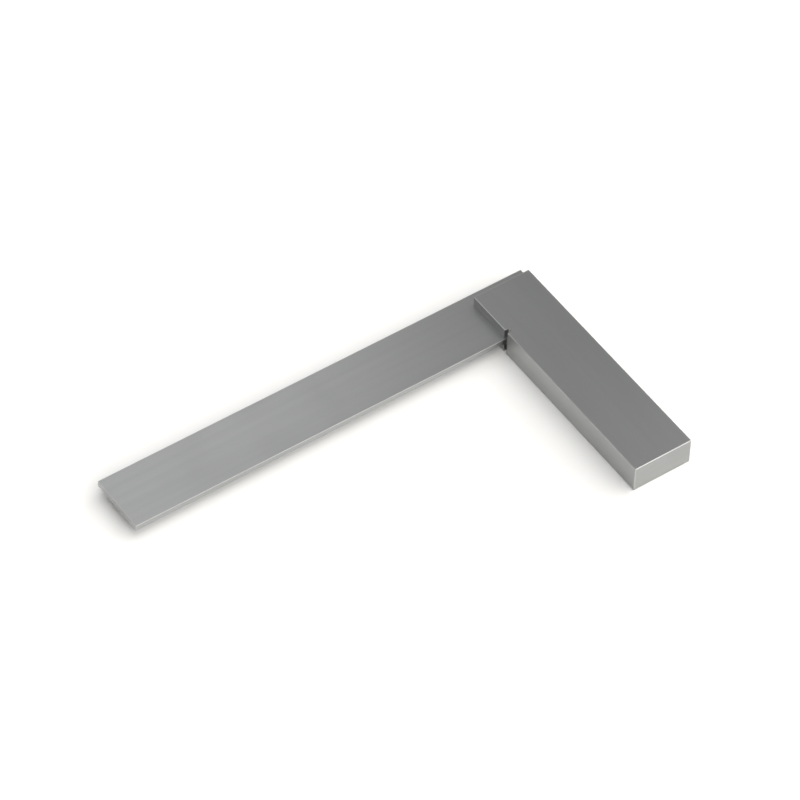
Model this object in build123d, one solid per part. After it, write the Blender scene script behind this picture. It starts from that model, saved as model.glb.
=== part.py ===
from build123d import *

import os
from math import cos, radians, sin

# An engineer's square. A thick steel stock is sawn open at one end, a thin ground steel blade lies in
# that slot at a right angle to it, and pins driven through both hold them for good. Nothing moves.
#
# The square lies on a broad side of its stock. +X runs along the blade to its tip, +Y along the stock
# to its tail, and +Z up through the stock's thickness. The origin is under the middle of the whole
# square's outline, on the plane that the stock lies on. Sizes are in millimetres.

# The stock, which is held against the edge of the work.
STOCK_LENGTH = 100.0
STOCK_WIDTH = 25.0
STOCK_THICKNESS = 11.5
STOCK_EDGE_BREAK = 0.4

# The blade, which lines are scribed along.
BLADE_REACH = 160.0  # clear length, from the stock's guide face to the blade's tip
BLADE_WIDTH = 25.0
BLADE_THICKNESS = 2.5
BLADE_STAND_OUT = 4.8  # how far the blade's outer edge stands beyond the stock's sawn end
BLADE_EDGE_BREAK = 0.15

# The slot is sawn to the blade's own thickness, and the blade is pressed into it.
SLOT_CLEARANCE = 0.0

# The relief is a narrow groove in the inner corner, where a burr on the work can sit. Its bottom is round.
RELIEF_WIDTH = 1.8
RELIEF_DEPTH = 2.0
RELIEF_OVERLAP = 0.4  # how much of its width lies over and under the blade

# The pins go through both jaws of the slot and the blade, and are ground flush with the stock.
PIN_COUNT = 3
PIN_DIAMETER = 4.0
PIN_CIRCLE_RADIUS = 6.0
PIN_CLEARANCE = 0.0  # driven into reamed holes

# A cutting tool runs this far past the metal at each open side.
OVERRUN = 1.0

# Planes across the length of the blade.
OVERALL_X = STOCK_WIDTH + BLADE_REACH
BACK_X = -OVERALL_X / 2
GUIDE_X = BACK_X + STOCK_WIDTH
TIP_X = GUIDE_X + BLADE_REACH

# Planes across the length of the stock.
OVERALL_Y = BLADE_STAND_OUT + STOCK_LENGTH
BLADE_OUTER_Y = -OVERALL_Y / 2
BLADE_INNER_Y = BLADE_OUTER_Y + BLADE_WIDTH
STOCK_END_Y = BLADE_OUTER_Y + BLADE_STAND_OUT
STOCK_TAIL_Y = STOCK_END_Y + STOCK_LENGTH

# The blade lies in the middle of the stock's thickness.
MIDDLE_Z = STOCK_THICKNESS / 2
BLADE_UNDERSIDE_Z = MIDDLE_Z - BLADE_THICKNESS / 2


def block(low, high):
    """A box between two opposite corners."""
    size = Vector(*high) - Vector(*low)
    corner = (Align.MIN, Align.MIN, Align.MIN)
    return Pos(*low) * Box(size.X, size.Y, size.Z, align=corner)


def upright(x, y, diameter):
    """A round rod as tall as the stock is thick, standing at a point of its outline."""
    base = (Align.CENTER, Align.CENTER, Align.MIN)
    return Pos(x, y, 0) * Cylinder(diameter / 2, STOCK_THICKNESS, align=base)


def pin_places():
    """Pin centres, evenly spaced on a circle about the middle of where blade and stock overlap."""
    centre_x = (BACK_X + GUIDE_X) / 2
    centre_y = (STOCK_END_Y + BLADE_INNER_Y) / 2
    places = []
    for index in range(PIN_COUNT):
        angle = radians(90 + 360 * index / PIN_COUNT)
        x = centre_x + PIN_CIRCLE_RADIUS * cos(angle)
        y = centre_y + PIN_CIRCLE_RADIUS * sin(angle)
        places.append((x, y))
    return places


def drill_pin_holes(piece):
    """The piece with a reamed hole for each pin."""
    for x, y in pin_places():
        piece -= upright(x, y, PIN_DIAMETER + 2 * PIN_CLEARANCE)
    return piece


def relief_cutter():
    """The groove's whole space: a rod at its bottom, and a block from there out past the guide face."""
    rod_x = GUIDE_X - RELIEF_DEPTH + RELIEF_WIDTH / 2
    low_y = BLADE_INNER_Y - RELIEF_OVERLAP
    high_y = low_y + RELIEF_WIDTH
    rod = upright(rod_x, (low_y + high_y) / 2, RELIEF_WIDTH)
    return rod + block((rod_x, low_y, 0), (GUIDE_X + OVERRUN, high_y, STOCK_THICKNESS))


def make_stock():
    """A ground bar with broken edges, its slot, its corner relief and its pin holes."""
    bar = block((BACK_X, STOCK_END_Y, 0), (GUIDE_X, STOCK_TAIL_Y, STOCK_THICKNESS))
    bar = chamfer(bar.edges(), STOCK_EDGE_BREAK)
    slot_low = (BACK_X - OVERRUN, STOCK_END_Y - OVERRUN, BLADE_UNDERSIDE_Z - SLOT_CLEARANCE)
    slot_height = BLADE_THICKNESS + 2 * SLOT_CLEARANCE
    slot_high = (GUIDE_X + OVERRUN, BLADE_INNER_Y, slot_low[2] + slot_height)
    bar -= block(slot_low, slot_high)
    bar -= relief_cutter()
    return drill_pin_holes(bar)


def make_blade():
    """A thin ground strip with broken edges, flush with the stock's back, and its pin holes."""
    low = (BACK_X, BLADE_OUTER_Y, BLADE_UNDERSIDE_Z)
    high = (TIP_X, BLADE_INNER_Y, BLADE_UNDERSIDE_Z + BLADE_THICKNESS)
    strip = block(low, high)
    strip = chamfer(strip.edges(), BLADE_EDGE_BREAK)
    return drill_pin_holes(strip)


def make_pieces():
    """Every separate piece, by name."""
    pieces = {"stock": make_stock(), "blade": make_blade()}
    for number, (x, y) in enumerate(pin_places(), start=1):
        pieces[f"pin_{number}"] = upright(x, y, PIN_DIAMETER)
    return pieces


os.makedirs("parts", exist_ok=True)
for name, piece in make_pieces().items():
    piece.label = name
    export_step(piece, f"parts/{name}.step")
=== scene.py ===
# %% [markdown]
# # An engineer's square in ground steel
#
# The square is two bars of steel fixed at a right angle. The thick one, the stock, is held against
# the edge of the work. The thin one, the blade, guides the scriber or the knife. The blade lies in a
# slot sawn into the end of the stock, and pins driven through both hold it there for good.
#
# A drawing of these pieces comes first, as a fixed frame. This script makes each piece again with
# the small things that a ground tool has: edges broken with a stone, a clean saw slot, reamed holes,
# and the fine parallel lines that a surface grinder leaves.

# %% Load the frame
import math

import bpy
from mathutils import Matrix, Vector


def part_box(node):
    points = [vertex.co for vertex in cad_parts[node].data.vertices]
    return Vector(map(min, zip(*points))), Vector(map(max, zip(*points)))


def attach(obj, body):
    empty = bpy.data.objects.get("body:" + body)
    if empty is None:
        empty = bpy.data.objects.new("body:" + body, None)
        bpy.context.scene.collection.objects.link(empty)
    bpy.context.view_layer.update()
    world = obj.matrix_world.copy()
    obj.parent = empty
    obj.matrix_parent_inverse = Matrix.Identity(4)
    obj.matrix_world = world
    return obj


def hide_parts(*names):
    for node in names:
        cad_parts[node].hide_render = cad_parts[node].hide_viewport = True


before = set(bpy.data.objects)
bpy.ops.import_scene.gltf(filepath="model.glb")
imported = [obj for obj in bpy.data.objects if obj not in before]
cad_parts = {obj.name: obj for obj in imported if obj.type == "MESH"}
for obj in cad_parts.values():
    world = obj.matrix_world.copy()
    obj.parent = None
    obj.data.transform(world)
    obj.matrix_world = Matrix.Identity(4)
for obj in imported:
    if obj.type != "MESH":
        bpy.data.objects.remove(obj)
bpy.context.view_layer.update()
print("frame nodes:", sorted(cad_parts))

# %% [markdown]
# ## Sizes
#
# A machinist reads a drawing in millimetres, and so do the trees below. Blender's own unit here is
# the metre, so each finished mesh is scaled once, at the end. Every overall size and place is read
# from the frame. The small finishes, which a drawing leaves to the maker, are chosen here. The relief
# is a cut inside the stock's box, so its three sizes are written here again.

# %% Read the sizes from the frame
MM_PER_METRE = 1000.0


def box_mm(node):
    """The middle and the size of a node of the frame, in millimetres."""
    low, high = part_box(node)
    return (low + high) / 2 * MM_PER_METRE, (high - low) * MM_PER_METRE


stock_middle, stock_size = box_mm("stock")
blade_middle, blade_size = box_mm("blade")
pin_nodes = sorted(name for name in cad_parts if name.startswith("pin_"))
pin_middles = [box_mm(name)[0] for name in pin_nodes]
pin_size = box_mm(pin_nodes[0])[1]
print("stock", stock_size, "blade", blade_size, "pins", len(pin_nodes), "of", pin_size.x)

# %% Choose the small finishes and repeat the relief, in millimetres
STOCK_EDGE_BREAK = 0.30
BLADE_EDGE_BREAK = 0.08
PIN_RIM_BREAK = 0.008
RELIEF_LIP_BREAK = 0.08
SLOT_GAP = 0.02  # the hairline that shows where the blade enters the stock
PIN_GAP = 0.004  # a driven pin fills its hole
RELIEF_WIDTH = 1.8
RELIEF_DEPTH = 2.0
RELIEF_OVERLAP = 0.4  # how much of its width lies over and under the blade
OVERRUN = 2.0  # how far a cutter runs past the metal
DRILL_TIP_BREAK = 0.5  # on the drill alone, out in the air
print("edges rounded by", STOCK_EDGE_BREAK, "and", BLADE_EDGE_BREAK, "relief", RELIEF_WIDTH, "wide")

# %% [markdown]
# ## Building trees by script
#
# Geometry Nodes describe a shape as a recipe with named inputs, so the same recipe serves the long
# thin blade and the short thick stock. A few short helpers keep the recipes readable. The main three
# make a tree with its inputs, add a node and feed it, and fill in a modifier's inputs by their
# identifiers, which is what a modifier stores them under.

# %% Helpers for trees
SOCKET_KINDS = {
    "geometry": "NodeSocketGeometry",
    "vector": "NodeSocketVector",
    "number": "NodeSocketFloat",
    "count": "NodeSocketInt",
    "material": "NodeSocketMaterial",
}


def new_tree(name, kind, inputs, outputs):
    """A node tree with named sockets, and its input and output nodes."""
    tree = bpy.data.node_groups.new(name, kind)
    for direction, sockets in (("INPUT", inputs), ("OUTPUT", outputs)):
        for socket_name, socket_kind in sockets.items():
            tree.interface.new_socket(
                socket_name, in_out=direction, socket_type=SOCKET_KINDS[socket_kind]
            )
    given = tree.nodes.new("NodeGroupInput").outputs
    result = tree.nodes.new("NodeGroupOutput").inputs
    return tree, given, result


def add(tree, kind, feeds, **settings):
    """A new node. feeds gives its inputs, by name or by number, a value or another node's output."""
    made = tree.nodes.new(kind)
    for setting, value in settings.items():
        setattr(made, setting, value)
    for socket, value in feeds.items():
        if isinstance(value, bpy.types.NodeSocket):
            tree.links.new(value, made.inputs[socket])
        else:
            made.inputs[socket].default_value = value
    return made


def vector_math(tree, operation, *values):
    """The vector result of one step of vector arithmetic."""
    feeds = dict(enumerate(values))
    return add(tree, "ShaderNodeVectorMath", feeds, operation=operation).outputs["Vector"]


def scaled(tree, vector, factor):
    """A vector times a number."""
    feeds = {0: vector, "Scale": factor}
    return add(tree, "ShaderNodeVectorMath", feeds, operation="SCALE").outputs["Vector"]


def number_math(tree, operation, *values):
    """The result of one step of arithmetic on numbers."""
    feeds = dict(enumerate(values))
    return add(tree, "ShaderNodeMath", feeds, operation=operation).outputs[0]


def new_piece(name):
    """A new object with an empty mesh, for trees to fill."""
    piece = bpy.data.objects.new(name, bpy.data.meshes.new(name))
    bpy.context.scene.collection.objects.link(piece)
    return piece


def run_tree(piece, tree, values):
    """Puts a tree on a piece, with the tree's inputs set by their identifiers."""
    modifier = piece.modifiers.new(tree.name, "NODES")
    modifier.node_group = tree
    for item in tree.interface.items_tree:
        if item.in_out == "INPUT" and item.name in values:
            modifier[item.identifier] = values[item.name]


# %% [markdown]
# ## A ground bar with broken edges
#
# A bar comes off the grinder with edges that cut a finger, so the maker draws a stone along each one.
# That leaves a tiny rounded edge. It is less than half a millimetre wide, but it is what catches the
# light and makes steel look like steel.
#
# The edges could be made with a Bevel modifier. The rule behind a rounded box is simple enough to
# state directly, though: shrink the box by the radius, then push every point out by the radius, in
# the direction in which it lies beyond the smaller box. It gives every corner a clean ball.

# %% The bar tree
EDGE_STEPS = 3  # facets from a flat to the middle of its rounded edge
CUBE_POINTS = 2 * EDGE_STEPS + 2
INNER_POINT = 1 / (CUBE_POINTS - 1)  # the points nearest to a middle, which stay on the flats


def make_bar_tree():
    """A rounded box of any size, about the origin."""
    tree, given, result = new_tree(
        "Ground bar", "GeometryNodeTree", {"Size": "vector", "Edge Break": "number"}, {"Bar": "geometry"}
    )
    counts = {"Vertices X": CUBE_POINTS, "Vertices Y": CUBE_POINTS, "Vertices Z": CUBE_POINTS}
    cube = add(tree, "GeometryNodeMeshCube", {"Size": (2.0, 2.0, 2.0), **counts})
    point = add(tree, "GeometryNodeInputPosition", {}).outputs["Position"]
    side = vector_math(tree, "SIGN", point)
    past_inner = vector_math(tree, "SUBTRACT", vector_math(tree, "ABSOLUTE", point), (INNER_POINT,) * 3)
    outward = vector_math(tree, "NORMALIZE", vector_math(tree, "MULTIPLY", side, past_inner))
    breaks = scaled(tree, (1.0, 1.0, 1.0), given["Edge Break"])
    inner_half = vector_math(tree, "SUBTRACT", scaled(tree, given["Size"], 0.5), breaks)
    inner_corner = vector_math(tree, "MULTIPLY", side, inner_half)
    place = vector_math(tree, "ADD", inner_corner, scaled(tree, outward, given["Edge Break"]))
    shaped = add(tree, "GeometryNodeSetPosition", {"Geometry": cube.outputs["Mesh"], "Position": place})
    tree.links.new(shaped.outputs["Geometry"], result["Bar"])
    return tree


bar_tree = make_bar_tree()
print("bar tree:", len(bar_tree.nodes), "nodes")

# %% [markdown]
# ## Pins, and the holes they fill
#
# The pins are short hardened rods. They are driven through reamed holes and then ground off flush,
# together with the stock's broad sides. They stand evenly round a ring, so one rod is made once and
# set at each corner of a mesh circle. The same tree, with a slightly larger diameter and a longer
# rod, also makes the cutters for the holes, so a pin and its hole can never drift apart.

# %% The pin tree
ROD_FACETS = 64
ROD_RINGS = 4  # a ring at each end and one where each rim's break starts
RING_STEP = 2 / (ROD_RINGS - 1)
FIRST_PIN_TURN = math.pi / 2  # the first pin stands towards the stock's tail


def make_pin_tree():
    """Rods with broken rims, evenly spaced round a ring about the origin."""
    sizes = {"Count": "count", "Ring Radius": "number", "Diameter": "number", "Length": "number"}
    sizes["Rim Break"] = "number"
    tree, given, result = new_tree("Ring of pins", "GeometryNodeTree", sizes, {"Pins": "geometry"})
    rings = {"Vertices": ROD_FACETS, "Side Segments": ROD_RINGS - 1}
    rod = add(tree, "GeometryNodeMeshCylinder", {**rings, "Radius": 1.0, "Depth": 2.0})
    point = add(tree, "GeometryNodeInputPosition", {}).outputs["Position"]
    parts = add(tree, "ShaderNodeSeparateXYZ", {"Vector": point}).outputs
    height = number_math(tree, "ABSOLUTE", parts["Z"])
    past_inner = number_math(tree, "SUBTRACT", height, 1 - RING_STEP)
    into_break = number_math(tree, "DIVIDE", past_inner, RING_STEP)
    rim = number_math(tree, "MULTIPLY", into_break, given["Rim Break"])
    radius = number_math(tree, "SUBTRACT", number_math(tree, "MULTIPLY", given["Diameter"], 0.5), rim)
    half_length = number_math(tree, "MULTIPLY", given["Length"], 0.5)
    inner_height = number_math(tree, "SUBTRACT", half_length, given["Rim Break"])
    new_height = number_math(tree, "ADD", inner_height, rim)
    signed_height = number_math(tree, "MULTIPLY", number_math(tree, "SIGN", parts["Z"]), new_height)
    new_x = number_math(tree, "MULTIPLY", parts["X"], radius)
    new_y = number_math(tree, "MULTIPLY", parts["Y"], radius)
    place = add(tree, "ShaderNodeCombineXYZ", {"X": new_x, "Y": new_y, "Z": signed_height}).outputs[0]
    shaped = add(tree, "GeometryNodeSetPosition", {"Geometry": rod.outputs["Mesh"], "Position": place})
    ring = add(tree, "GeometryNodeMeshCircle", {"Vertices": given["Count"], "Radius": given["Ring Radius"]})
    turned = add(
        tree, "GeometryNodeTransform", {"Geometry": ring.outputs["Mesh"], "Rotation": (0, 0, FIRST_PIN_TURN)}
    )
    placed = add(
        tree,
        "GeometryNodeInstanceOnPoints",
        {"Points": turned.outputs["Geometry"], "Instance": shaped.outputs["Geometry"]},
    )
    solid = add(tree, "GeometryNodeRealizeInstances", {"Geometry": placed.outputs["Instances"]})
    tree.links.new(solid.outputs["Geometry"], result["Pins"])
    return tree


pin_tree = make_pin_tree()
print("pin tree:", len(pin_tree.nodes), "nodes")

# %% [markdown]
# ## Cutting, as on the bench
#
# The stock starts as a plain ground bar. A round cutter that is drawn out through the guide face
# leaves the narrow relief in the inner corner, and its lips are stoned. Then a slitting saw opens the
# slot, and a reamer opens the holes. Each cutter is a solid that is taken away with a Mesh Boolean.
#
# The stock has two trees in that order, with a Bevel modifier between them. The first tree finds the
# relief's lips by the angle between their two faces, and gives them a bevel weight, so that the
# modifier breaks just those edges. The slot and the pin holes come after it and stay sharp: the blade
# hides the first, and the pins are ground off together with the face round the others.

# %% Helpers for cut pieces
LIP_ANGLE = math.radians(60)  # a cut edge is about square; the rounded edges' own facets are not
CREASE_ANGLE = math.radians(40)
MIDDLE_TOLERANCE = 0.001  # a point this near a cutter's middle counts as being on it


def group_node(tree, group, feeds):
    """Another tree, used as one node of this tree."""
    return add(tree, "GeometryNodeGroup", feeds, node_tree=group)


def moved(tree, shape, place):
    """A shape carried from the origin to its place."""
    node = add(tree, "GeometryNodeTransform", {"Geometry": shape, "Translation": place})
    return node.outputs["Geometry"]


def cut_away(tree, shape, cutters):
    """A shape less the shapes that cut it."""
    node = add(tree, "GeometryNodeMeshBoolean", {"Mesh 1": shape}, operation="DIFFERENCE", solver="EXACT")
    for cutter in cutters:
        tree.links.new(cutter, node.inputs["Mesh 2"])
    return node.outputs["Mesh"]


def lips_marked(tree, shape):
    """A shape whose sharp outward edges carry a bevel weight."""
    angle = add(tree, "GeometryNodeInputMeshEdgeAngle", {}).outputs
    lip = number_math(tree, "GREATER_THAN", angle["Signed Angle"], LIP_ANGLE)
    weighted = add(
        tree,
        "GeometryNodeStoreNamedAttribute",
        {"Geometry": shape, "Name": "bevel_weight_edge", "Value": lip},
        data_type="FLOAT",
        domain="EDGE",
    )
    return weighted.outputs["Geometry"]


def finished(tree, shape, material):
    """A shape with its faces smooth but for creases, and its material."""
    smooth = add(tree, "GeometryNodeSetShadeSmooth", {"Geometry": shape, "Shade Smooth": True})
    angle = add(tree, "GeometryNodeInputMeshEdgeAngle", {}).outputs
    crease = number_math(tree, "GREATER_THAN", angle["Unsigned Angle"], CREASE_ANGLE)
    creased = add(
        tree,
        "GeometryNodeSetShadeSmooth",
        {"Geometry": smooth.outputs[0], "Selection": crease, "Shade Smooth": False},
        domain="EDGE",
    )
    solid = add(tree, "GeometryNodeRealizeInstances", {"Geometry": creased.outputs[0]})
    return add(tree, "GeometryNodeSetMaterial", {"Geometry": solid.outputs[0], "Material": material})


BAR_INPUTS = {"Size": "vector", "Edge Break": "number", "Middle": "vector"}
HOLE_INPUTS = {
    "Pin Count": "count",
    "Ring Radius": "number",
    "Ring Middle": "vector",
    "Hole Diameter": "number",
    "Drill Length": "number",
}


def bar_in_place(tree, given):
    """The ground bar of a piece, where the piece lies."""
    bar = group_node(tree, bar_tree, {"Size": given["Size"], "Edge Break": given["Edge Break"]})
    return moved(tree, bar.outputs["Bar"], given["Middle"])


def hole_cutters(tree, given):
    """The drills that open the pin holes."""
    feeds = {"Count": given["Pin Count"], "Ring Radius": given["Ring Radius"]}
    feeds["Diameter"] = given["Hole Diameter"]
    feeds["Rim Break"] = DRILL_TIP_BREAK
    feeds["Length"] = given["Drill Length"]
    drills = group_node(tree, pin_tree, feeds)
    return moved(tree, drills.outputs["Pins"], given["Ring Middle"])


# %% The blade, stock and pin trees
def make_blade_tree():
    """A drilled strip."""
    tree, given, result = new_tree(
        "Drilled blade",
        "GeometryNodeTree",
        {**BAR_INPUTS, **HOLE_INPUTS, "Material": "material"},
        {"Blade": "geometry"},
    )
    drilled = cut_away(tree, bar_in_place(tree, given), [hole_cutters(tree, given)])
    done = finished(tree, drilled, given["Material"])
    tree.links.new(done.outputs["Geometry"], result["Blade"])
    return tree


def relief_cutter(tree, given):
    """The space that a round cutter sweeps: its leading half is carried off by the travel."""
    radius = number_math(tree, "MULTIPLY", given["Relief Width"], 0.5)
    feeds = {"Vertices": ROD_FACETS, "Radius": radius, "Depth": given["Drill Length"]}
    rod = add(tree, "GeometryNodeMeshCylinder", feeds)
    point = add(tree, "GeometryNodeInputPosition", {}).outputs["Position"]
    feeds = {0: point, 1: given["Relief Travel"]}
    ahead = add(tree, "ShaderNodeVectorMath", feeds, operation="DOT_PRODUCT").outputs["Value"]
    leading = number_math(tree, "GREATER_THAN", ahead, -MIDDLE_TOLERANCE)
    feeds = {"Geometry": rod.outputs["Mesh"], "Selection": leading, "Offset": given["Relief Travel"]}
    swept = add(tree, "GeometryNodeSetPosition", feeds)
    return moved(tree, swept.outputs["Geometry"], given["Relief Bottom"])


def make_relieved_tree():
    """The stock's bar with its corner relief, whose lips are marked."""
    cuts = {"Relief Width": "number", "Relief Travel": "vector", "Relief Bottom": "vector"}
    cuts["Drill Length"] = "number"
    tree, given, result = new_tree(
        "Relieved bar", "GeometryNodeTree", {**BAR_INPUTS, **cuts}, {"Bar": "geometry"}
    )
    cut = cut_away(tree, bar_in_place(tree, given), [relief_cutter(tree, given)])
    tree.links.new(lips_marked(tree, cut), result["Bar"])
    return tree


def make_slotted_tree():
    """The relieved bar with its saw slot and its holes."""
    cuts = {"Bar": "geometry", "Slot Size": "vector", "Slot Middle": "vector", "Material": "material"}
    tree, given, result = new_tree(
        "Slotted stock", "GeometryNodeTree", {**cuts, **HOLE_INPUTS}, {"Stock": "geometry"}
    )
    saw = add(tree, "GeometryNodeMeshCube", {"Size": given["Slot Size"]})
    slot = moved(tree, saw.outputs["Mesh"], given["Slot Middle"])
    cut = cut_away(tree, given["Bar"], [slot, hole_cutters(tree, given)])
    done = finished(tree, cut, given["Material"])
    tree.links.new(done.outputs["Geometry"], result["Stock"])
    return tree


def make_pin_set_tree():
    """The pins themselves, where they are driven."""
    sizes = {"Pin Count": "count", "Ring Radius": "number", "Ring Middle": "vector", "Pin Size": "vector"}
    sizes["Rim Break"] = "number"
    sizes["Material"] = "material"
    tree, given, result = new_tree("Driven pins", "GeometryNodeTree", sizes, {"Pins": "geometry"})
    across = add(tree, "ShaderNodeSeparateXYZ", {"Vector": given["Pin Size"]}).outputs
    feeds = {"Count": given["Pin Count"], "Ring Radius": given["Ring Radius"]}
    feeds["Diameter"] = across["X"]
    feeds["Length"] = across["Z"]
    feeds["Rim Break"] = given["Rim Break"]
    pins = moved(tree, group_node(tree, pin_tree, feeds).outputs["Pins"], given["Ring Middle"])
    done = finished(tree, pins, given["Material"])
    tree.links.new(done.outputs["Geometry"], result["Pins"])
    return tree


blade_tree = make_blade_tree()
relieved_tree = make_relieved_tree()
slotted_tree = make_slotted_tree()
pin_set_tree = make_pin_set_tree()
print("piece trees:", [tree.name for tree in (blade_tree, relieved_tree, slotted_tree, pin_set_tree)])

# %% [markdown]
# ## The look of ground steel
#
# A surface grinder leaves hundreds of fine lines, all along the bar, and broader bands where one
# pass of the wheel lies beside the next. From arm's length they blur into a satin sheen. So the lines
# belong in roughness and in a very shallow bump, and lines and bands only faintly in colour. Handling
# adds soft patches where the sheen differs. The edges are painted brighter than the flats: partly stoned
# wear, and partly a painted highlight of the light that the rounded edges catch.
#
# Three effects are shared by all the steels here, so each is a node group with named inputs. The
# groups put out plain values. The shader itself stays in the material.

# %% The shader groups
TOWARDS_END = 0.7  # how squarely a face looks along the bar before it counts as an end
LINE_DETAIL = 1.0
WEAR_AND_HIGHLIGHT_DETAIL = 2.0
WEAR_AND_HIGHLIGHT_GAIN = 2.0  # noise averages about a half, and this brings it back to about 1
MARK_DETAIL = 1.5
MARK_SWIRL = 0.3
MARK_FADE = 0.25  # how much further the noise rises from a mark's rim to its full strength


def make_lay_group():
    """Lines along the bar on its long faces, and across it on its ends, from 0 to 1."""
    inputs = {"Point": "vector", "Facing": "vector", "Length Axis": "vector", "End Axis": "vector"}
    inputs["Line Spacing"] = "number"
    inputs["Line Length"] = "number"
    tree, given, result = new_tree("Grinding lay", "ShaderNodeTree", inputs, {"Lines": "number"})
    dot = add(
        tree,
        "ShaderNodeVectorMath",
        {0: given["Facing"], 1: given["Length Axis"]},
        operation="DOT_PRODUCT",
    )
    towards = number_math(tree, "ABSOLUTE", dot.outputs["Value"])
    on_end = number_math(tree, "GREATER_THAN", towards, TOWARDS_END)
    on_side = number_math(tree, "SUBTRACT", 1.0, on_end)
    end_part = scaled(tree, given["End Axis"], on_end)
    lay = vector_math(tree, "ADD", scaled(tree, given["Length Axis"], on_side), end_part)
    across = number_math(tree, "DIVIDE", 1.0, given["Line Spacing"])
    along = number_math(tree, "DIVIDE", 1.0, given["Line Length"])
    difference = number_math(tree, "SUBTRACT", along, across)
    base = scaled(tree, (1.0, 1.0, 1.0), across)
    frequency = vector_math(tree, "ADD", base, scaled(tree, lay, difference))
    stretched = vector_math(tree, "MULTIPLY", given["Point"], frequency)
    noise = add(tree, "ShaderNodeTexNoise", {"Vector": stretched, "Scale": 1.0, "Detail": LINE_DETAIL})
    tree.links.new(noise.outputs["Fac"], result["Lines"])
    return tree


def make_edge_wear_and_highlight_group():
    """How near a point is to an edge of its bar: 1 on the edge, 0 beyond the width, a little uneven. It
    drives the stoned wear and the painted highlight on the edges together.
    """
    inputs = {"Point": "vector", "Low Corner": "vector", "High Corner": "vector", "Width": "number"}
    inputs["Patch Size"] = "number"
    tree, given, result = new_tree("Edge wear and painted highlight", "ShaderNodeTree", inputs, {"Wear And Highlight": "number"})
    from_low = vector_math(tree, "SUBTRACT", given["Point"], given["Low Corner"])
    from_high = vector_math(tree, "SUBTRACT", given["High Corner"], given["Point"])
    nearest = vector_math(tree, "MINIMUM", from_low, from_high)
    x, y, z = add(tree, "ShaderNodeSeparateXYZ", {"Vector": nearest}).outputs
    lower = number_math(tree, "MINIMUM", x, y)
    upper = number_math(tree, "MAXIMUM", x, y)
    second = number_math(tree, "MAXIMUM", lower, number_math(tree, "MINIMUM", upper, z))
    share = number_math(tree, "DIVIDE", second, given["Width"])
    plain = add(tree, "ShaderNodeMapRange", {"Value": share, "To Min": 1.0, "To Max": 0.0})
    patches = scaled(tree, given["Point"], number_math(tree, "DIVIDE", 1.0, given["Patch Size"]))
    noise = add(tree, "ShaderNodeTexNoise", {"Vector": patches, "Scale": 1.0, "Detail": WEAR_AND_HIGHLIGHT_DETAIL})
    worn_and_highlit = number_math(tree, "MULTIPLY", plain.outputs["Result"], noise.outputs["Fac"])
    tree.links.new(number_math(tree, "MULTIPLY", worn_and_highlit, WEAR_AND_HIGHLIGHT_GAIN), result["Wear And Highlight"])
    return tree


def make_handling_group():
    """Soft patches that fingers and a cloth leave, from 0 to 1."""
    inputs = {"Point": "vector", "Patch Size": "number", "Cover": "number"}
    tree, given, result = new_tree("Handling marks", "ShaderNodeTree", inputs, {"Marks": "number"})
    large = scaled(tree, given["Point"], number_math(tree, "DIVIDE", 1.0, given["Patch Size"]))
    feeds = {"Vector": large, "Scale": 1.0, "Detail": MARK_DETAIL, "Distortion": MARK_SWIRL}
    noise = add(tree, "ShaderNodeTexNoise", feeds)
    rim = number_math(tree, "SUBTRACT", 1.0, given["Cover"])
    full = number_math(tree, "ADD", rim, MARK_FADE)
    feeds = {"Value": noise.outputs["Fac"], "From Min": rim, "From Max": full}
    soft = add(tree, "ShaderNodeMapRange", feeds, interpolation_type="SMOOTHSTEP")
    tree.links.new(soft.outputs["Result"], result["Marks"])
    return tree


lay_group = make_lay_group()
edge_wear_and_highlight_group = make_edge_wear_and_highlight_group()
handling_group = make_handling_group()
print("shader groups:", [group.name for group in (lay_group, edge_wear_and_highlight_group, handling_group)])

# %% [markdown]
# ## One steel, three finishes
#
# Stock, blade and pins are all hardened steel of nearly one grey. What tells them apart is the lay.
# The blade is ground with a finer wheel, in long strokes. The stock's lines are coarser and shorter.
# The ends of the pins take the stock's lay, because they were ground off together with it.
#
# The roughness moves only a little from line to line. All of it lies above 0.274, where a denoiser
# starts to take a surface for a dull one: a lay that crosses that value shows false contours.

# %% The steel material
X_AXIS = (1.0, 0.0, 0.0)
Y_AXIS = (0.0, 1.0, 0.0)
LINE_TINT = 0.15  # how far each effect moves the colour, where it is full
MARK_TINT = 0.35
# the edges' brightening is partly stoned wear and partly a painted highlight
WEAR_AND_HIGHLIGHT_TINT = 0.5
WEAR_AND_HIGHLIGHT_PATCH_SIZE = 9.0  # millimetres along an edge
LINE_HEIGHT = 2e-5  # metres, and the finish takes only a share of it
FIRST_COLOUR, SECOND_COLOUR, MADE_COLOUR = 6, 7, 2  # a mix node's colour sockets, by number


def mixed_number(tree, factor, low, high):
    """A number between two values."""
    feeds = {"Value": factor, "To Min": low, "To Max": high}
    return add(tree, "ShaderNodeMapRange", feeds).outputs["Result"]


def mixed_colour(tree, factor, first, second):
    """A colour between two colours."""
    node = add(tree, "ShaderNodeMix", {0: factor}, data_type="RGBA")
    for number, value in ((FIRST_COLOUR, first), (SECOND_COLOUR, second)):
        if isinstance(value, bpy.types.NodeSocket):
            tree.links.new(value, node.inputs[number])
        else:
            node.inputs[number].default_value = value
    return node.outputs[MADE_COLOUR]


def shader_group(tree, group, feeds):
    """One of the shared effects, placed in a material."""
    return add(tree, "ShaderNodeGroup", feeds, node_tree=group).outputs[0]


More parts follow.
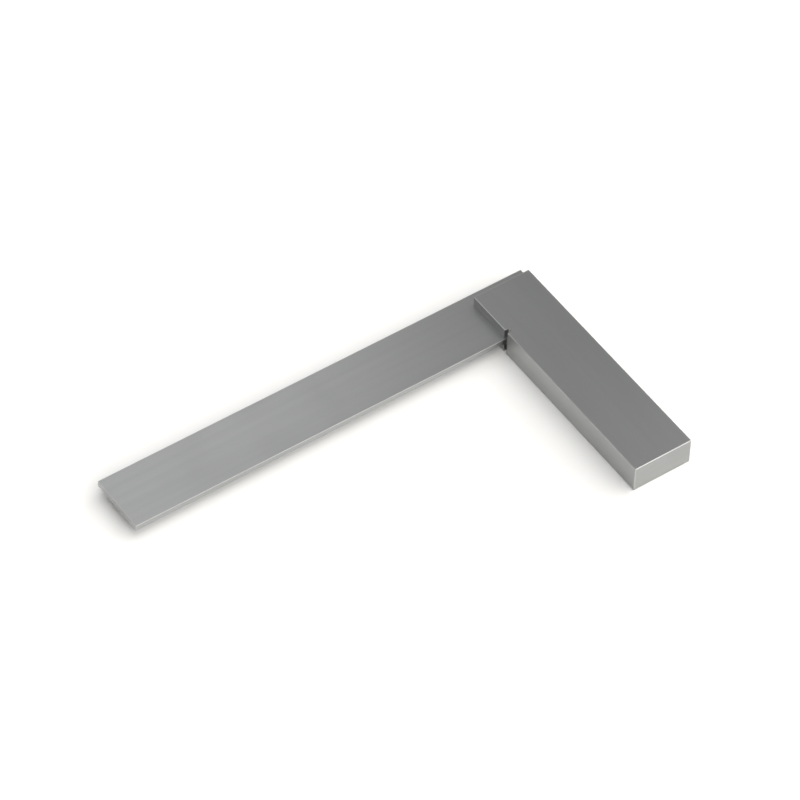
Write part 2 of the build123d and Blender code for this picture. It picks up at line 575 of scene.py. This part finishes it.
def ground_steel(name, finish, length_axis, end_axis, low, high):
    """A satin steel, ground along length_axis, with soft handling marks and edges painted brighter: partly
    stoned wear, partly a painted highlight.
    """
    material = bpy.data.materials.new(name)
    material.use_nodes = True
    tree = material.node_tree
    shader = tree.nodes["Principled BSDF"]
    coordinates = add(tree, "ShaderNodeTexCoord", {}).outputs
    point = scaled(tree, coordinates["Object"], MM_PER_METRE)
    lay = {"Point": point, "Facing": coordinates["Normal"], "Length Axis": length_axis}
    lay["End Axis"] = end_axis
    fine_feeds = {**lay, "Line Spacing": finish["line_spacing"], "Line Length": finish["line_length"]}
    fine = shader_group(tree, lay_group, fine_feeds)
    band_feeds = {**lay, "Line Spacing": finish["band_spacing"], "Line Length": finish["band_length"]}
    bands = shader_group(tree, lay_group, band_feeds)
    corners = {"Low Corner": low, "High Corner": high}
    wear_and_highlight_feeds = {"Point": point, **corners, "Width": finish["wear_and_highlight_width"]}
    wear_and_highlight_feeds["Patch Size"] = WEAR_AND_HIGHLIGHT_PATCH_SIZE
    wear_and_highlight = shader_group(tree, edge_wear_and_highlight_group, wear_and_highlight_feeds)
    mark_feeds = {"Point": point, "Patch Size": finish["patch_size"], "Cover": finish["cover"]}
    marks = shader_group(tree, handling_group, mark_feeds)

    ground = mixed_colour(tree, bands, finish["dark"], finish["light"])
    lined = mixed_colour(tree, number_math(tree, "MULTIPLY", fine, LINE_TINT), ground, finish["light"])
    handled = mixed_colour(tree, number_math(tree, "MULTIPLY", marks, MARK_TINT), lined, finish["dull"])
    # painted highlight: the edges are lightened towards the bright colour, on top of their stoned wear
    worn_and_highlit = mixed_colour(tree, number_math(tree, "MULTIPLY", wear_and_highlight, WEAR_AND_HIGHLIGHT_TINT), handled, finish["bright"])
    tree.links.new(worn_and_highlit, shader.inputs["Base Color"])

    rough_low, rough_high = finish["roughness"]
    lined_roughness = mixed_number(tree, fine, rough_low, rough_high)
    mark_roughness = number_math(tree, "MULTIPLY", marks, finish["mark_roughness"])
    roughness = number_math(tree, "ADD", lined_roughness, mark_roughness)
    tree.links.new(roughness, shader.inputs["Roughness"])

    feeds = {"Height": fine, "Strength": finish["bump"], "Distance": LINE_HEIGHT}
    bump = add(tree, "ShaderNodeBump", feeds)
    tree.links.new(bump.outputs["Normal"], shader.inputs["Normal"])
    shader.inputs["Metallic"].default_value = 1.0
    return material


# %% The finishes, with spacings, lengths, widths and sizes in millimetres
BLADE_FINISH = {
    "dark": (0.362, 0.366, 0.364, 1.0),
    "light": (0.410, 0.414, 0.412, 1.0),
    "dull": (0.354, 0.358, 0.356, 1.0),
    # the edges' colour: stoned wear with a painted highlight on it
    "bright": (0.58, 0.58, 0.575, 1.0),
    "roughness": (0.278, 0.292),
    "mark_roughness": 0.012,
    "line_spacing": 0.55,
    "line_length": 60.0,
    "band_spacing": 2.4,
    "band_length": 120.0,
    # how far in from an edge its stoned wear and painted highlight reach
    "wear_and_highlight_width": 0.35,
    "patch_size": 22.0,
    "cover": 0.52,
    "bump": 0.03,
}
STOCK_FINISH = {
    **BLADE_FINISH,
    "dark": (0.360, 0.364, 0.362, 1.0),
    "light": (0.406, 0.410, 0.408, 1.0),
    "dull": (0.352, 0.356, 0.354, 1.0),
    "roughness": (0.278, 0.294),
    "line_spacing": 0.70,
    "line_length": 45.0,
    "band_spacing": 3.0,
    "band_length": 70.0,
    "wear_and_highlight_width": 0.6,
}
PIN_FINISH = {
    **STOCK_FINISH,
    "light": (0.402, 0.406, 0.404, 1.0),
    "wear_and_highlight_width": 0.01,
}

stock_low, stock_high = (corner * MM_PER_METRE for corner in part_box("stock"))
blade_low, blade_high = (corner * MM_PER_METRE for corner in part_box("blade"))
stock_steel = ground_steel("stock_steel", STOCK_FINISH, Y_AXIS, X_AXIS, stock_low, stock_high)
blade_steel = ground_steel("blade_steel", BLADE_FINISH, X_AXIS, Y_AXIS, blade_low, blade_high)
pin_steel = ground_steel("pin_steel", PIN_FINISH, Y_AXIS, X_AXIS, stock_low, stock_high)
print("steels:", [material.name for material in (stock_steel, blade_steel, pin_steel)])

# %% [markdown]
# ## Making the pieces
#
# Each tree is run on an object whose own mesh is empty. On the stock, a Bevel modifier between its
# two trees breaks the lips of the relief. Weighted normals then let the big ground flats keep their
# own direction, so that no shading creeps over them from the rounded edges. The result is turned into
# a plain mesh, scaled from millimetres to metres, and given to the frame's one body.

# %% Helpers that settle a piece
LIP_SEGMENTS = 2


def break_lips(piece, width):
    """Rounds the edges that the tree gave a bevel weight."""
    bevel = piece.modifiers.new("Break the lips", "BEVEL")
    bevel.limit_method = "WEIGHT"
    bevel.width = width
    bevel.segments = LIP_SEGMENTS
    bevel.use_clamp_overlap = False


def settle(piece, nodes):
    """Turns a piece into a plain mesh in metres that stands for nodes of the frame."""
    weighted = piece.modifiers.new("Weighted normals", "WEIGHTED_NORMAL")
    weighted.keep_sharp = True
    depsgraph = bpy.context.evaluated_depsgraph_get()
    evaluated = piece.evaluated_get(depsgraph)
    mesh = bpy.data.meshes.new_from_object(evaluated, depsgraph=depsgraph)
    piece.modifiers.clear()
    mesh.transform(Matrix.Scale(1 / MM_PER_METRE, 4))
    mesh.name = piece.name
    piece.data = mesh
    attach(piece, "root")
    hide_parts(*nodes)
    print(piece.name, len(mesh.vertices), "points", len(mesh.polygons), "faces")


# %% The places of the cuts and pins
guide_face_x = stock_high.x
blade_inner_y = blade_high.y
jaw_middle_x = stock_middle.x

slot_end_y = blade_inner_y + SLOT_GAP
slot_size = Vector((
    stock_size.x + 2 * OVERRUN,
    slot_end_y - stock_low.y + OVERRUN,
    blade_size.z + 2 * SLOT_GAP,
))
slot_middle = Vector((jaw_middle_x, slot_end_y - slot_size.y / 2, blade_middle.z))
relief_bottom = Vector((
    guide_face_x - RELIEF_DEPTH + RELIEF_WIDTH / 2,
    blade_inner_y - RELIEF_OVERLAP + RELIEF_WIDTH / 2,
    stock_middle.z,
))
relief_travel = Vector((RELIEF_DEPTH, 0, 0))

ring_middle = sum(pin_middles, Vector()) / len(pin_middles)
ring_radius = (pin_middles[0] - ring_middle).length
holes = {
    "Pin Count": len(pin_nodes),
    "Ring Radius": ring_radius,
    "Ring Middle": ring_middle,
    "Hole Diameter": pin_size.x + 2 * PIN_GAP,
    "Drill Length": stock_size.z + 2 * OVERRUN,
}
print("pins stand", round(ring_radius, 2), "mm from", ring_middle)

# %% The blade
blade = new_piece("blade_strip")
run_tree(blade, blade_tree, {
    "Size": blade_size,
    "Edge Break": BLADE_EDGE_BREAK,
    "Middle": blade_middle,
    "Material": blade_steel,
    **holes,
})
settle(blade, ["blade"])

# %% The stock
stock = new_piece("stock_bar")
run_tree(stock, relieved_tree, {
    "Size": stock_size,
    "Edge Break": STOCK_EDGE_BREAK,
    "Middle": stock_middle,
    "Relief Width": RELIEF_WIDTH,
    "Relief Travel": relief_travel,
    "Relief Bottom": relief_bottom,
    "Drill Length": holes["Drill Length"],
})
break_lips(stock, RELIEF_LIP_BREAK)
run_tree(stock, slotted_tree, {
    "Slot Size": slot_size,
    "Slot Middle": slot_middle,
    "Material": stock_steel,
    **holes,
})
settle(stock, ["stock"])

# %% The pins
pins = new_piece("driven_pins")
run_tree(pins, pin_set_tree, {
    "Pin Count": len(pin_nodes),
    "Ring Radius": ring_radius,
    "Ring Middle": ring_middle,
    "Pin Size": pin_size,
    "Rim Break": PIN_RIM_BREAK,
    "Material": pin_steel,
})
settle(pins, pin_nodes)

# %% [markdown]
# ## The studio
#
# Steel shows what is round it more than it shows itself. The room here is bright on one side, as if
# it had tall windows there, and dim on the other. Seen from the camera, the flats that face up mirror
# the dim side and look grey, and the sides mirror the pale floor and look lighter. A few small cards,
# each a weak soft light, hang high up beyond the blade. They make its flat brighter towards the tip,
# and the stock's a little brighter towards the tail.

# %% The floor
FLOOR_HALF = 6.0
FLOOR_COLOUR = (0.86, 0.86, 0.855, 1.0)
FLOOR_ROUGHNESS = 0.9
FLOOR_GLOSS = 0.1


def make_floor():
    """A plain pale floor under the square, larger than any view of it."""
    mesh = bpy.data.meshes.new("floor")
    corners = [(-1, -1, 0), (1, -1, 0), (1, 1, 0), (-1, 1, 0)]
    mesh.from_pydata([Vector(corner) * FLOOR_HALF for corner in corners], [], [(0, 1, 2, 3)])
    floor = bpy.data.objects.new("floor", mesh)
    bpy.context.scene.collection.objects.link(floor)
    paint = bpy.data.materials.new("floor_paint")
    paint.use_nodes = True
    shader = paint.node_tree.nodes["Principled BSDF"]
    shader.inputs["Base Color"].default_value = FLOOR_COLOUR
    shader.inputs["Roughness"].default_value = FLOOR_ROUGHNESS
    shader.inputs["Specular IOR Level"].default_value = FLOOR_GLOSS
    mesh.materials.append(paint)
    return floor


floor = make_floor()
print("floor", floor.dimensions)

# %% The room
BRIGHT_SIDE = Vector((-0.50, 0.72, 0.48)).normalized()
DIM_BELOW = 0.30  # the room is dimmest where the cosine of the angle to its bright side is below this
BRIGHT_ABOVE = 0.52  # and brightest where the cosine is above this
DIM_STRENGTH = 0.222
BRIGHT_STRENGTH = 2.35
DIM_COLOUR = (0.98, 0.99, 1.0, 1.0)
BRIGHT_COLOUR = (1.0, 0.985, 0.96, 1.0)


def make_room():
    """A pale room whose light fades from its bright side to its dim side."""
    made = bpy.data.worlds.new("room")
    made.use_nodes = True
    tree = made.node_tree
    direction = add(tree, "ShaderNodeTexCoord", {}).outputs["Generated"]
    feeds = {0: direction, 1: BRIGHT_SIDE}
    towards = add(tree, "ShaderNodeVectorMath", feeds, operation="DOT_PRODUCT").outputs["Value"]
    feeds = {"Value": towards, "From Min": DIM_BELOW, "From Max": BRIGHT_ABOVE}
    share = add(tree, "ShaderNodeMapRange", feeds, interpolation_type="SMOOTHSTEP").outputs["Result"]
    background = tree.nodes["Background"]
    tree.links.new(mixed_colour(tree, share, DIM_COLOUR, BRIGHT_COLOUR), background.inputs["Color"])
    strength = mixed_number(tree, share, DIM_STRENGTH, BRIGHT_STRENGTH)
    tree.links.new(strength, background.inputs["Strength"])
    return made


room = make_room()
bpy.context.scene.world = room
bpy.context.scene.view_settings.view_transform = "Standard"
print("room nodes:", len(room.node_tree.nodes))

# %% The cards, with places and sizes in metres
CARD_COLOUR = (0.992, 1.0, 0.998)
CARDS = {
    "over tip": {"place": (0.10, -0.50, 0.75), "size": 0.5, "watts": 0.98},
    "tip card": {"place": (-0.20, -0.60, 0.75), "size": 0.3, "watts": 0.051},
    "blade card": {"place": (-0.33, -0.62, 0.75), "size": 0.2, "watts": 0.140},
    "tail card": {"place": (-0.45, -0.22, 0.60), "size": 0.25, "watts": 0.065},
}


def make_card(name, place, size, watts):
    """A square soft light that looks at the origin."""
    data = bpy.data.lights.new(name, "AREA")
    data.size = size
    data.energy = watts
    data.color = CARD_COLOUR
    lamp = bpy.data.objects.new(name, data)
    bpy.context.scene.collection.objects.link(lamp)
    lamp.location = place
    lamp.rotation_mode = "QUATERNION"
    lamp.rotation_quaternion = Vector(place).to_track_quat("Z", "Y")


for card_name, settings in CARDS.items():
    make_card(card_name, **settings)
print("cards:", list(CARDS))

# %% [markdown]
# ## The camera
#
# The square is seen from above the inside of its corner, so that the blade's flat, the guide face and
# the relief between them all show. A wide lens close by would make the near end look too large. A
# long lens from well back keeps the parallel edges nearly parallel, so the right angle reads true.

# %% The camera
VIEW_AZIMUTH = math.radians(54.0)  # from +X towards +Y
VIEW_ELEVATION = math.radians(48.85)
VIEW_ROLL = math.radians(1.78)  # about the line of sight
VIEW_DISTANCE = 1.6773
VIEW_AIM = Vector((-0.0194, -0.0253, 0.00575))
LENS_MM = 208.6
CLIP_NEAR = 0.05
CLIP_FAR = 30.0


def make_camera():
    """A long lens that looks down the inside of the square's corner."""
    data = bpy.data.cameras.new("camera")
    data.lens = LENS_MM
    data.clip_start = CLIP_NEAR
    data.clip_end = CLIP_FAR
    camera = bpy.data.objects.new("camera", data)
    bpy.context.scene.collection.objects.link(camera)
    level = math.cos(VIEW_ELEVATION)
    back = Vector((
        level * math.cos(VIEW_AZIMUTH),
        level * math.sin(VIEW_AZIMUTH),
        math.sin(VIEW_ELEVATION),
    ))
    turn = back.to_track_quat("Z", "Y").to_matrix() @ Matrix.Rotation(VIEW_ROLL, 3, "Z")
    camera.matrix_world = turn.to_4x4()
    camera.location = VIEW_AIM + back * VIEW_DISTANCE
    bpy.context.scene.camera = camera
    return camera


camera = make_camera()
print("camera at", camera.location)
